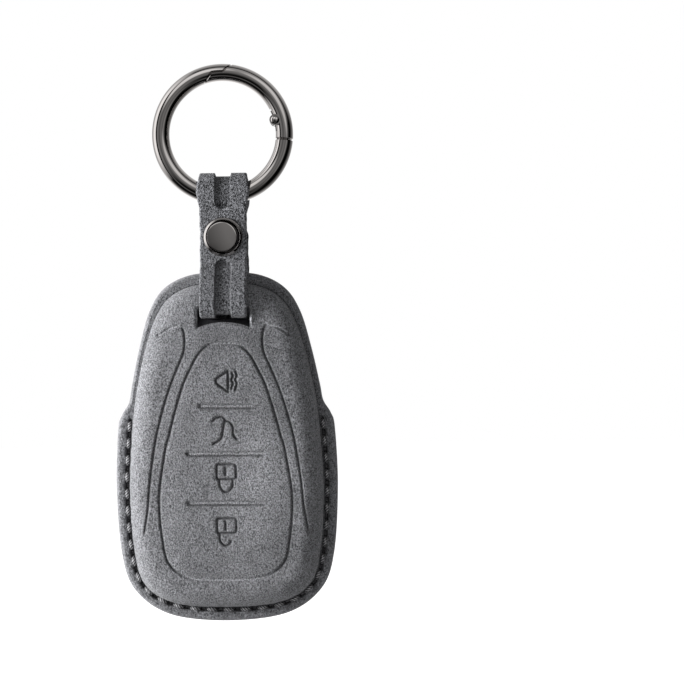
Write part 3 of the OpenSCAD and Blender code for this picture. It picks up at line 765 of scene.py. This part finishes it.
def lining_shell(name, side, slot):
    """The cloth inside a half: a closed layer between two stacks of inner rings."""
    t = ring_parameters(60, 90)
    outside = SKIN_T + .02
    points = [lifted(ring, height, SKIN_T) for ring, height, _, _ in inner_rings(t, outside)[:0:-1]]
    points += [lifted(ring, height, WALL) for ring, height, _, _ in inner_rings(t, WALL)[1:]]
    faces = spindle_faces(len(points), len(t))
    tips = [[(0, -(SHOULDER_H + CROWN - e), CENTRE_Z)] for e in (outside, WALL)]
    points, faces = on_side(side, tips[:1] + points + tips[1:], faces)
    return cut_slot(make_piece(name, points, faces, LINING), slot, side, LINING)


# ---- the thread
def stitches():
    """Each stitch is a tube along its share of the route. Its middle line dips at both ends
    by a power of a sine, and its radius has three plies that turn with the distance: a
    rectified cosine of one and a half times the angle."""
    sides, rows = 18, 24
    q, run, angle = np.linspace(0, 1, rows), along(ROUTE), round_angles(sides)
    rise = np.sin(pi * q) ** .55
    height = WALL - .95 + (.52 + THREAD_R) * rise
    reach = STITCH_GAP - .5
    points, faces, plies = [], [], []
    for side in (-1, 1):
        for start in STITCHES:
            s = start - reach + q * (STITCH_L + 2 * reach)
            mid = points_of(*(np.interp(s, run, part) for part in ROUTE.T))
            normal = beside(np.gradient(mid, axis=0))
            lobe = np.abs(np.cos(1.5 * (angle[None] + s[:, None] * 3.0)))
            radius = THREAD_R * (.6 + .45 * rise[:, None] ** 2) * (.7 + .3 * lobe)
            sideways, upwards = radius * np.cos(angle), radius * np.sin(angle)
            made = tube_faces(rows, sides, len(points) * rows * sides)
            faces += made if side > 0 else flipped(made)
            points.append(points_of(mid[:, :1] + normal[:, :1] * sideways,
                                    side * (height[:, None] + upwards),
                                    mid[:, 1:] + normal[:, 1:] * sideways))
            # painted glints: strongest on the plies' backs and at the stitch's middle
            plies.append((lobe ** 2.5 * rise[:, None] ** 2).ravel())
    return make_piece("seam_stitches", np.vstack(points), faces, THREAD, ply=np.concatenate(plies))


# ---- the strap
def strap_lines():
    """Middle line of the strap in the YZ plane, in two parts that meet inside the cover."""
    reach, bend_r = 10.025, 2.35
    run_z = SLOT_TOP - .725 - STRAP_T / 2
    bend_z, wrap_r, lean = run_z + bend_r, 6.825, 35
    leg = np.vstack([circle_arc((LEG_Y + 3, TAB_HINGE_Z), 3, 180, 180 + lean, 12),
                     circle_arc((reach - wrap_r, bend_z), wrap_r, lean, 0),
                     circle_arc((reach - bend_r, bend_z), bend_r, 0, -90), [(0, run_z)]])
    cross_r, cross_a = 4.204, 72.07
    taper_r, taper_a = 29.245, 7.27
    front = np.vstack([
        [(-INNER_Y, SNAP_Z - 4.7)],
        circle_arc((cross_r - INNER_Y, LOOP_Z - 8), cross_r, 180, 180 - cross_a),
        circle_arc((LOOP_R - cross_r, LOOP_Z), cross_r, -cross_a, 0),
        circle_arc((0, LOOP_Z), LOOP_R, 3, 180, 60),
        circle_arc((taper_r - LOOP_R, LOOP_Z), taper_r, 180, 180 + taper_a, 12)[1:],
        circle_arc((-LEG_Y - taper_r, LOOP_Z - 7.4), taper_r, taper_a, 0, 12)[1:],
        leg * (-1, 1)])
    rear = np.vstack([leg[::-1], [(LEG_Y, SNAP_Z + STRAP_W / 2 - .02)]])
    return evenly(front, .24), evenly(rear, .26)


def section():
    """The strap's closed section as pairs of x and offset, from the outer side round."""
    r, half, t, wall = .42, STRAP_W / 2, STRAP_T / 2, CHANNEL_W / 2
    outer = np.concatenate([np.linspace(*span) for span in (
        (-half + r, -wall - .35, 14), (-wall - .25, -wall + .35, 9), (-wall + .5, wall - .5, 14),
        (wall - .35, wall + .25, 9), (wall + .35, half - r, 14))])
    inner = np.linspace(half - r, -half + r, 22)
    top, bottom = points_of(outer, t), points_of(inner, -t)
    right = np.vstack([circle_arc((half - r, t - r), r, 72, 0, 4),
                       circle_arc((half - r, -t + r), r, 0, -72, 4)])
    return np.vstack([top, right, bottom, right[::-1] * (-1, 1)])


def channel_share(x, run, start, end):
    """How far the channel is cut: 1 inside a strip with round ends, 0 outside."""
    beyond = np.maximum(np.maximum(start - run, run - end), 0)
    return 1 - smooth((np.hypot(x, beyond) - (CHANNEL_W / 2 - .17)) / .36)


def strap_part(name, line, channels, round_end=False):
    """The strap's section carried along a line on its right-hand normals. The channel
    lowers the outer side. The width grows over the loop, shrinks as a circle's over the
    round free end, and has slow waves."""
    shape, run, end = section(), along(line), STRAP_W / 2
    normal = beside(np.gradient(line, axis=0))
    if round_end:
        past = np.clip(line[:, 1] - SNAP_Z, 0, end - .02)
        width = np.where(line[:, 0] > 0, np.sqrt(1 - (past / end) ** 2), 1)
    else:
        width = .975 + .12 * np.exp(-((line[:, 1] - LOOP_Z) / 3.2) ** 2)
    x = shape[None, :, 0] * width[:, None]
    wave = (.06 * np.sin(run * .83 + 1) + .04 * np.sin(run * 2.1))[:, None]
    x = x + np.sign(x) * wave * (np.abs(x) > 4)
    offset = np.broadcast_to(shape[None, :, 1], x.shape).copy()
    outer = offset > STRAP_T / 2 - .01
    cut = sum(channel_share(x, run[:, None], a, b) for a, b in channels) * outer
    offset -= CHANNEL_DEPTH * cut
    points = points_of(x, line[:, :1] + normal[:, :1] * offset,
                       line[:, 1:] + normal[:, 1:] * offset)
    # the channel's floor a little darker and its walls darker still: pressed nap and painted shade
    pressed = np.clip(.14 * cut + .5 * (cut > .05) * (cut < .95), 0, 1)
    return make_piece(name, points, flipped(tube_faces(*x.shape)), STRAP_SUEDE,
                      pressed=pressed.ravel(), painted=np.zeros(len(points)))


def run_at(line, z, y_sign, last=False):
    """Distance along a line to a height on one side of the middle plane."""
    miss = np.where(np.sign(line[:, 0]) == y_sign, np.abs(line[:, 1] - z), 99)
    k = len(miss) - 1 - np.argmin(miss[::-1]) if last else np.argmin(miss)
    return along(line)[k]


def strap_parts():
    """The front part, with a channel above the snap and one below it, and the rear part."""
    front, rear = strap_lines()
    above = run_at(front, LOOP_Z + .5, 1), run_at(front, SNAP_Z + 9.0, -1)
    below = run_at(front, SNAP_Z - 7.8, -1, last=True), along(front)[-1] - 4
    behind = 4, run_at(rear, SNAP_Z - 7.8, 1)
    return (strap_part("strap_front", front, [above, below]),
            strap_part("strap_rear", rear, [behind], round_end=True))


# ---- the snap
SHARP = 32                            # degrees between faces of metal at a sharp edge
SPIN = 96                             # points round a turned piece
TUBE_R, TUBE_END = 1.1, 1.775         # the cap's and the post's tubes


def smooth_copy(node, name, material):
    """The CAD node's own shape, joined up, smooth over its curves and sharp at its cuts."""
    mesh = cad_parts[node].data.copy()
    mesh.materials.clear()
    mesh.materials.append(material)
    piece = link(name, mesh)
    piece.modifiers.new("weld", "WELD").merge_threshold = 1e-6
    apply_modifier(piece)
    shade_smooth(piece.data, SHARP)
    return piece


def spun(pairs, centres):
    """Pairs of radius and y turned round lines along y through their centres."""
    a, radius = round_angles(SPIN), pairs[:, :1]
    return points_of(centres[:, :1] + radius * np.cos(a), pairs[:, 1:],
                     centres[:, 1:] + radius * np.sin(a))


def turned(name, profile, centre, material, shift=0.0, shifted=0):
    """A profile of pairs of radius and y, from tip to tip, turned round the line through
    the centre along y. Its last circles and its end can be shifted sideways."""
    moved = np.arange(len(profile)) >= len(profile) - 1 - shifted
    centres = np.array(centre) + np.outer(shift * moved, (1, 0))
    ends = points_of(centres[:, 0], profile[:, 1], centres[:, 1])
    points = np.vstack([ends[:1], spun(profile[1:-1], centres[1:-1]), ends[-1:]])
    return make_piece(name, points, spindle_faces(len(profile) - 2, SPIN), material, SHARP)


def corner(radius, y, bend, start, end):
    """A rounded corner as pairs of radius and y: 0 degrees is outwards, 90 backwards."""
    return circle_arc((radius, y), bend, start, end, 6)


def drop(radius, sphere):
    """How far a sphere's surface has dropped at a distance from its highest point."""
    return sphere - np.sqrt(sphere ** 2 - radius ** 2)


def snap_button():
    """The cap: a tube, a thin plate with a sloping rim, and inside a groove with a sloping
    floor a disc with a low dome, a little to the left."""
    face, plate = -LEG_Y - STRAP_T / 2, .02
    r = np.linspace(3.6, .25, 14)
    disc = [(3.82, .4), (3.8, .45), (3.74, .65), (3.71, .71), (3.66, .76),
            *points_of(r, .78 + .18 * (1 - (r / 3.6) ** 2))]
    profile = [[(0, -4.2), (TUBE_R, -4.2), (TUBE_R, plate), (4.6, plate)],
               circle_arc((4.349, .031), .521, 0, 46, 7),
               [(4.67, .44), (4.44, .637), (4.28, .795), (4.25, .81), (4.22, .79), (4.2, .7),
                (4.19, .12)], disc, [(0, .96)]]
    profile = np.vstack(profile) * (1, -1) + (0, face)
    button = turned("snap_button", profile, (0, SNAP_Z), GUNMETAL, -.34, len(disc))
    x, y, z = places(button.data).T
    radius = np.hypot(x, z - SNAP_Z)
    # painted shade on the low floor and walls of the groove round the disc
    deep = np.clip((.7 - (face - y)) / .06, 0, 1) * (radius > 3.3) * (radius < 4.3)
    add_layer(button.data, "deep", deep)
    return button


def snap_cup():
    """The socket: a cup open to the back, with a rolled rim, a groove for the wire spring
    round its bore, and a hole for the cap's tube."""
    floor, wall, back, bore_r, groove_r = -.825, 3.2, 2.075, 2.25, 2.7
    bore = [(bore_r, 1.775), (groove_r, 1.775), (groove_r, 1.145), (bore_r, 1.145),
            (bore_r, floor + .5), (TUBE_R, floor + .5)]
    loop = np.vstack([[(TUBE_R, floor)], corner(wall - .15, floor + .15, .15, -90, 0),
                      corner(wall - .4, back - .4, .4, 0, 90),
                      corner(2.37, back - .12, .12, 90, 180), bore])
    points = spun(loop, np.array([(0, SNAP_Z)] * len(loop)))
    return make_piece("snap_cup", points, hoop_faces(len(loop), SPIN), STEEL, SHARP)


def snap_knob():
    """The stud: a base plate, a neck, and a rounded head, hollow for the post's tube."""
    base, tip, dome = 2.675, .275, 3.2
    top = np.linspace(1.4, .2, 9)
    profile = [[(0, base - .9), (TUBE_R, base - .9), (TUBE_R, base)],
               corner(2.82, base - .18, .18, 90, -40),
               [(2.6, base - .4), (1.6, base - .45), (1.4, base - .5), (1.28, base - .62),
                (1.25, base - .8), (1.25, 1.24), (1.3, 1.16)],
               corner(1.45, 1.0, .15, 60, 0), corner(1.42, .84, .18, 0, -62),
               points_of(top, tip + drop(top, dome)), [(0, tip)]]
    return turned("snap_knob", np.vstack(profile), (0, SNAP_Z), STEEL)


def snap_rivet():
    """The post: a low domed head behind the strap, and its tube through the strap."""
    face, r, h = LEG_Y + STRAP_T / 2, 3.8, .75
    head = np.linspace(.2, r - .1, 18)
    profile = [[(0, face + h)], points_of(head, face + h - drop(head, (r * r + h * h) / (2 * h))),
               [(r, face + .04), (r - .05, face), (TUBE_R, face), (TUBE_R, TUBE_END),
                (0, TUBE_END)]]
    return turned("snap_rivet", np.vstack(profile), (0, SNAP_Z), SATIN)


# ---- the ring
PIN_ANGLE, PIN_FROM_CENTRE, TAIL_ANGLE, GAP, CHAMFER = 14.1, 13.6, -5.4, .05, .3
SPLIT_R, HOOK_REACH, TONGUE_REACH, WEB_R = 15.525, 17.681, 19.712, 16.4
STROKE = 60                           # points along each long stroke of the latch's cut
PIN_AT = polar(PIN_FROM_CENTRE, PIN_ANGLE)[0]


def latch_angles(gap):
    """Radii and angles of the Z-shaped cut's two long strokes, from outside inwards, moved
    by a gap: arcs round the pin, whose angle at a radius comes from the cosine rule."""
    pin = np.linalg.norm(PIN_AT)
    split = SPLIT_R + gap
    radius = np.concatenate([np.linspace(RING_R + WIRE_R + 1, split, STROKE),
                             np.linspace(split, RING_R - WIRE_R - 1, STROKE) - 1e-6])
    reach = np.repeat([HOOK_REACH + gap, TONGUE_REACH + gap], STROKE)
    cosine = (radius ** 2 + pin ** 2 - reach ** 2) / (2 * radius * pin)
    return radius, PIN_ANGLE + np.degrees(np.arccos(cosine))


def latch_line(gap):
    """The whole cut: its outer stroke, a stretch of a circle, and its inner stroke."""
    radius, angle = latch_angles(gap)
    cut, n = polar(radius, angle), STROKE
    step = circle_arc((0, 0), SPLIT_R + gap, angle[n - 1], angle[n], 24)[1:-1]
    return np.vstack([cut[:n:4], cut[n - 1], step, cut[n], cut[n + 1::4]])


def arc_wire(name, start, end):
    """A length of the ring's wire with flat ends: a circle carried round the ring."""
    sides, rows = 96, int((end - start) * 1.6) + 2
    across, angle = round_angles(sides), np.radians(np.linspace(start, end, rows))[:, None]
    radius = RING_R + WIRE_R * np.cos(across)
    points = points_of(radius * np.cos(angle), WIRE_R * np.sin(across), radius * np.sin(angle))
    return make_piece(name, points, tube_faces(rows, sides), GUNMETAL)


def on_wire(radius, angle, side):
    """The wire's surface over places in the ring's plane, in front or behind."""
    rise = WIRE_R * np.sqrt(np.clip(1 - ((radius - RING_R) / WIRE_R) ** 2, 0, 1))
    x, z = polar(radius, angle).T
    return points_of(x, side * rise, z)


def round_wire(radius, angle):
    """A line over the wire's front and back again behind it."""
    return np.vstack([on_wire(radius, angle, -1), on_wire(radius, angle, 1)[::-1]])


def chamfer_bar(path, closed=False):
    """A square bar on its edge, carried along a line on the wire's surface."""
    path = evenly(path, .12)
    path = path[:-1] if closed else path
    centre = path * (1, 0, 1)
    centre *= RING_R / np.linalg.norm(centre, axis=1)[:, None]
    normal = unit(path - centre)
    forward = np.roll(path, -1, axis=0) - np.roll(path, 1, axis=0)
    if not closed:
        forward[0], forward[-1] = path[1] - path[0], path[-1] - path[-2]
    sideways = unit(np.cross(normal, forward))
    reach = GAP / 2 + CHAMFER
    bar = np.stack([path + reach * normal, path + reach * sideways, path - reach * normal,
                    path - reach * sideways], axis=1)
    n = 4 * len(path)
    faces = hoop_faces(len(path), 4, closed)
    if not closed:
        faces += [[0, 1, 2, 3], [n - 1, n - 2, n - 3, n - 4]]
    return make_piece("cutter", bar.reshape(-1, 3), faces, GUNMETAL)


def chamfer_bars():
    """Bars for the latch's cut, on its four sides, and for the cut at the tail."""
    radius, angle = latch_angles(GAP / 2)
    split = SPLIT_R + GAP / 2
    outer, inner = radius >= split, radius < split
    bars = []
    for part, order in ((outer, -1), (inner, 1)):
        r, a = radius[part][::order], angle[part][::order]
        keep = np.abs(r - RING_R) < WIRE_R
        bars.append(chamfer_bar(round_wire(r[keep], a[keep])))
    step = np.linspace(angle[outer][-1] - .5, angle[inner][0] + .5, 60)
    bars += [chamfer_bar(on_wire(split, step, side)) for side in (-1, 1)]
    tail = round_wire(np.linspace(RING_R + WIRE_R, RING_R - WIRE_R, 80),
                      TAIL_ANGLE + degrees(GAP / 2 / RING_R))
    return bars + [chamfer_bar(np.vstack([tail, tail[:1]]), closed=True)]


def polish(piece):
    """Gives the wire's round surface the normals of a true ring, and leaves cut faces flat."""
    mesh = piece.data
    place = places(mesh)
    scale = 1 - RING_R / np.hypot(place[:, 0], place[:, 2])
    out = points_of(place[:, 0] * scale, place[:, 1], place[:, 2] * scale)
    size = np.linalg.norm(out, axis=1)
    is_round = np.abs(size - WIRE_R) < .008
    shade_smooth(mesh)
    normals = []
    for face in mesh.polygons:
        flat_normal = np.array(face.normal)
        wire = all(is_round[v] for v in face.vertices)
        for v in face.vertices:
            true = out[v] / size[v]
            normals.append(true if wire and true @ flat_normal > .9 else flat_normal)
    mesh.normals_split_custom_set(normals)
    return piece


def ring_wire():
    """The ring's body: the wire less the latch's cut, with the flat tongue and eye that the
    gate turns on."""
    body = arc_wire("ring_wire", 74, 360 + TAIL_ANGLE)
    beyond = polar(np.array([11, 20]), 60)
    combine(body, prism(np.vstack([latch_line(GAP), beyond])), *chamfer_bars())
    end, root = TAIL_ANGLE + .05, TAIL_ANGLE - 2.5
    keep = polar(np.array([0, 14.3, 14.3, 16.3, 16.3, 20, 20]),
                 np.array([0, end, root, root, end, end, 40]))
    tongue = combine(smooth_copy("ring_body", "tongue", GUNMETAL), prism(keep, -1.6, 1.6),
                     operation="INTERSECT")
    return polish(sweep_slivers(combine(body, tongue, operation="UNION")))


def ring_gate_arm():
    """The gate: the wire from its tail to the latch, with ears round the pin and a slot for
    the body's tongue."""
    gate = arc_wire("ring_gate_arm", TAIL_ANGLE + degrees(GAP / RING_R), 122)
    beyond = polar(np.array([11, 26, 26]), np.array([135, 135, 105]))
    combine(gate, prism(np.vstack([latch_line(0), beyond])), *chamfer_bars())
    ears = prism(circle_arc(PIN_AT, 1.4, 0, 360, 96)[:-1], -2.0, 2.0)
    combine(gate, ears, operation="UNION")
    slot = prism(np.vstack([[(0, 0)], circle_arc((0, 0), WEB_R, -27, 27, 40)]), -1.2, 1.2)
    combine(gate, slot, prism(circle_arc(PIN_AT, .65, 0, 360, 48)[:-1]))
    return polish(sweep_slivers(gate))


def gate_rivet():
    """The gate's pin: a rod with a low dome on each end."""
    r, h, head, rod = 1.05, .45, 2.05, .6
    dome = (r * r + h * h) / (2 * h)
    x = dome * np.sin(np.linspace(0, asin(r / dome), 9))
    back = np.vstack([points_of(x, head + h - drop(x, dome)), [(rod, head)]])
    return turned("gate_rivet", np.vstack([back, back[::-1] * (1, -1)]), PIN_AT, GUNMETAL)


# ---- the pieces, and what they ride on
COVER_PIECES = [
    (half_shell("front_cover", -1, front_relief, 188, 316, FRONT_SLOT), "front_skin", "suede"),
    (half_shell("back_cover", 1, no_relief, 110, 190, REAR_SLOT), "back_skin", "suede"),
    (lining_shell("front_cloth", -1, FRONT_SLOT), "front_lining", "lining"),
    (lining_shell("back_cloth", 1, REAR_SLOT), "back_lining", "lining"),
    (stitches(), "seam_thread", "thread")]
strap_front, strap_rear = strap_parts()
METAL_PIECES = [
    (ring_wire(), "ring_body", "gunmetal", "ring"),
    (ring_gate_arm(), "ring_gate", "gunmetal", "gate"),
    (gate_rivet(), "gate_pin", "gunmetal", "ring"),
    (smooth_copy("gate_spring", "gate_coil", STEEL), "gate_spring", "steel", "ring"),
    (snap_button(), "snap_cap", "gunmetal", "strap"),
    (snap_cup(), "snap_socket", "steel", "strap"),
    (smooth_copy("snap_spring", "snap_wire", STEEL), "snap_spring", "steel", "strap"),
    (snap_knob(), "snap_stud", "steel", "tab"),
    (snap_rivet(), "snap_post", "gunmetal_satin", "tab")]
RIGID = METAL_PIECES + [(*row, "cover") for row in COVER_PIECES]
RIGID += [(strap_front, "strap", "strap_suede", "strap")]
for piece, node, slot, body in RIGID:
    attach(piece, body)
    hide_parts(node)
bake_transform(strap_rear)
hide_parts("strap_tab")


# ---- camera, floor and light
def place_camera():
    """Looks along +Y past the object's right side, rolled a little."""
    distance, seen_width, sensor = 520, 170.6, 36
    data = bpy.data.cameras.new("camera")
    data.sensor_width, data.lens = sensor, sensor * distance / seen_width
    data.clip_start, data.clip_end = .05, 20
    camera = link("camera", data)
    camera.location = Vector((29.05, -distance, -52.17)) * MM
    camera.rotation_euler = pi / 2, radians(.8), 0
    bpy.context.scene.camera = camera


def place_floor():
    """A pale round floor below the hanging object, which keeps its shadow."""
    radius, z, steps = 1500, -150.0, 96
    a = round_angles(steps)
    points = points_of(radius * np.cos(a), radius * np.sin(a), z)
    material, n, place = new_material("pale_floor")
    cloud = n.add("TexNoise", "Fac", Vector=place, Scale=12.0)
    matt = n.add("BsdfDiffuse", Color=n.ramp(cloud, [(.3, .60), (.7, .62)]))
    both = n.add("AddShader", _0=matt, _1=n.add("Emission", Color=(1, 1, 1, 1), Strength=.88))
    seen = n.add("MixShader", Fac=n.add("LightPath", "Is Camera Ray"), _1=matt, _2=both)
    n.add("OutputMaterial", Surface=seen)
    floor = make_piece("floor", points, [list(range(steps))], material)
    floor.visible_glossy = False


# How bright the mirrored studio is on each side, from behind the object (0) round to the
# camera (1), and the lamps in it: direction, edge and strength
STUDIO = {
    "left": [(0, .45), (.14, .3), (.32, .5), (.42, .95), (.64, 1.0), (.70, .6), (.715, .005),
             (.83, .005), (.855, .2), (.93, .16), (.97, .09), (1, .05)],
    "right": [(0, .45), (.14, .24), (.32, .12), (.42, .06), (.5, .02), (.56, .001), (.7, .001),
              (.86, .001), (.885, .09), (.94, .1), (.955, .01), (.975, .005), (1, .05)],
    "above": [(0, .6), (.14, .42), (.32, .37), (.48, .2), (.575, .14), (.6, .003), (.67, .003),
              (.70, .22), (.83, .32), (.9, .2), (.96, .1), (1, .05)],
    "below": [(0, .9), (.14, .7), (.3, .36), (.4, .16), (.48, .06), (.55, .012), (.66, .003),
              (.77, .003), (.80, .08), (.855, .08), (.875, .004), (.96, .004), (.98, .03),
              (1, .05)]}
STUDIO_LAMPS = [((-.302, -.766, .568), .93, .5), ((.406, -.819, .406), .93, .3),
                ((.36, -.91, .20), .8, .1)]


def place_lamp():
    """One soft lamp from the upper left."""
    lamp = bpy.data.lights.new("key", "AREA")
    lamp.shape, lamp.size, lamp.size_y, lamp.energy = "RECTANGLE", .3, .17, 7.2
    key = link("key", lamp)
    target, away = Vector((0, 0, -.075)), Vector((-.95, -.245, .18)).normalized()
    key.location = target + away * .5
    key.rotation_euler = away.to_track_quat("Z", "Y").to_euler()
    key.visible_glossy = False


def place_sky():
    """A grey surround, white to the camera. The metal mirrors a studio whose four sides
    blend by the squares of the ray's parts along their two axes, and three round lamps."""
    world = bpy.data.worlds.new("studio")
    world.use_nodes = True
    bpy.context.scene.world = world
    n = Nodes(world.node_tree)
    place = n.add("TexCoord", "Generated")

    def toward(direction):
        """How far the ray goes in a direction, from -1 to 1."""
        return n.add("VectorMath", "Value", {"operation": "DOT_PRODUCT"}, _0=place, _1=direction)

    def part(share):
        """A number from -1 to 1 brought to 0 to 1."""
        return n.maths("MULTIPLY_ADD", share, .5, .5)

    facing = part(toward((0, -1, 0)))
    across, upwards = toward((-.966, 0, .259)), toward((.259, 0, .966))
    left, right, above, below = (n.ramp(facing, stops) for stops in STUDIO.values())
    on_left, on_top = (n.maths("GREATER_THAN", axis, 0.0) for axis in (across, upwards))
    across2, upwards2 = (n.maths("MULTIPLY", axis, axis) for axis in (across, upwards))
    ratio = n.maths("DIVIDE", across2, n.maths("ADD", across2, upwards2))
    share = n.mix(on_left, n.ramp(ratio, [(.25, 0), (.75, 1)]), n.ramp(ratio, [(.4, 0), (.85, 1)]))
    mirrored = n.mix(share, n.mix(on_top, below, above), n.mix(on_left, right, left))
    for direction, edge, strength in STUDIO_LAMPS:
        lamp = n.ramp(toward(direction), [(edge, 0), (1 - .36 * (1 - edge), strength)])
        mirrored = n.mix(1.0, mirrored, lamp, "ADD")
    seen = n.maths("MAXIMUM", n.add("LightPath", "Is Camera Ray"),
                   n.add("LightPath", "Is Transmission Ray"))
    fill = n.ramp(part(toward((0, 0, 1))), [(.3, .165), (.8, .325)])
    plain, mirror, white = (n.add("Background", Color=colour, Strength=strength)
                            for colour, strength in ((fill, 1.0), (mirrored, 2.0), ((1,) * 4, 1.0)))
    sky = n.add("MixShader", Fac=n.add("LightPath", "Is Glossy Ray"), _1=plain, _2=mirror)
    n.add("OutputWorld", Surface=n.add("MixShader", Fac=seen, _1=sky, _2=white))


place_camera()
place_floor()
place_lamp()
place_sky()
bpy.context.scene.view_settings.view_transform = "Standard"
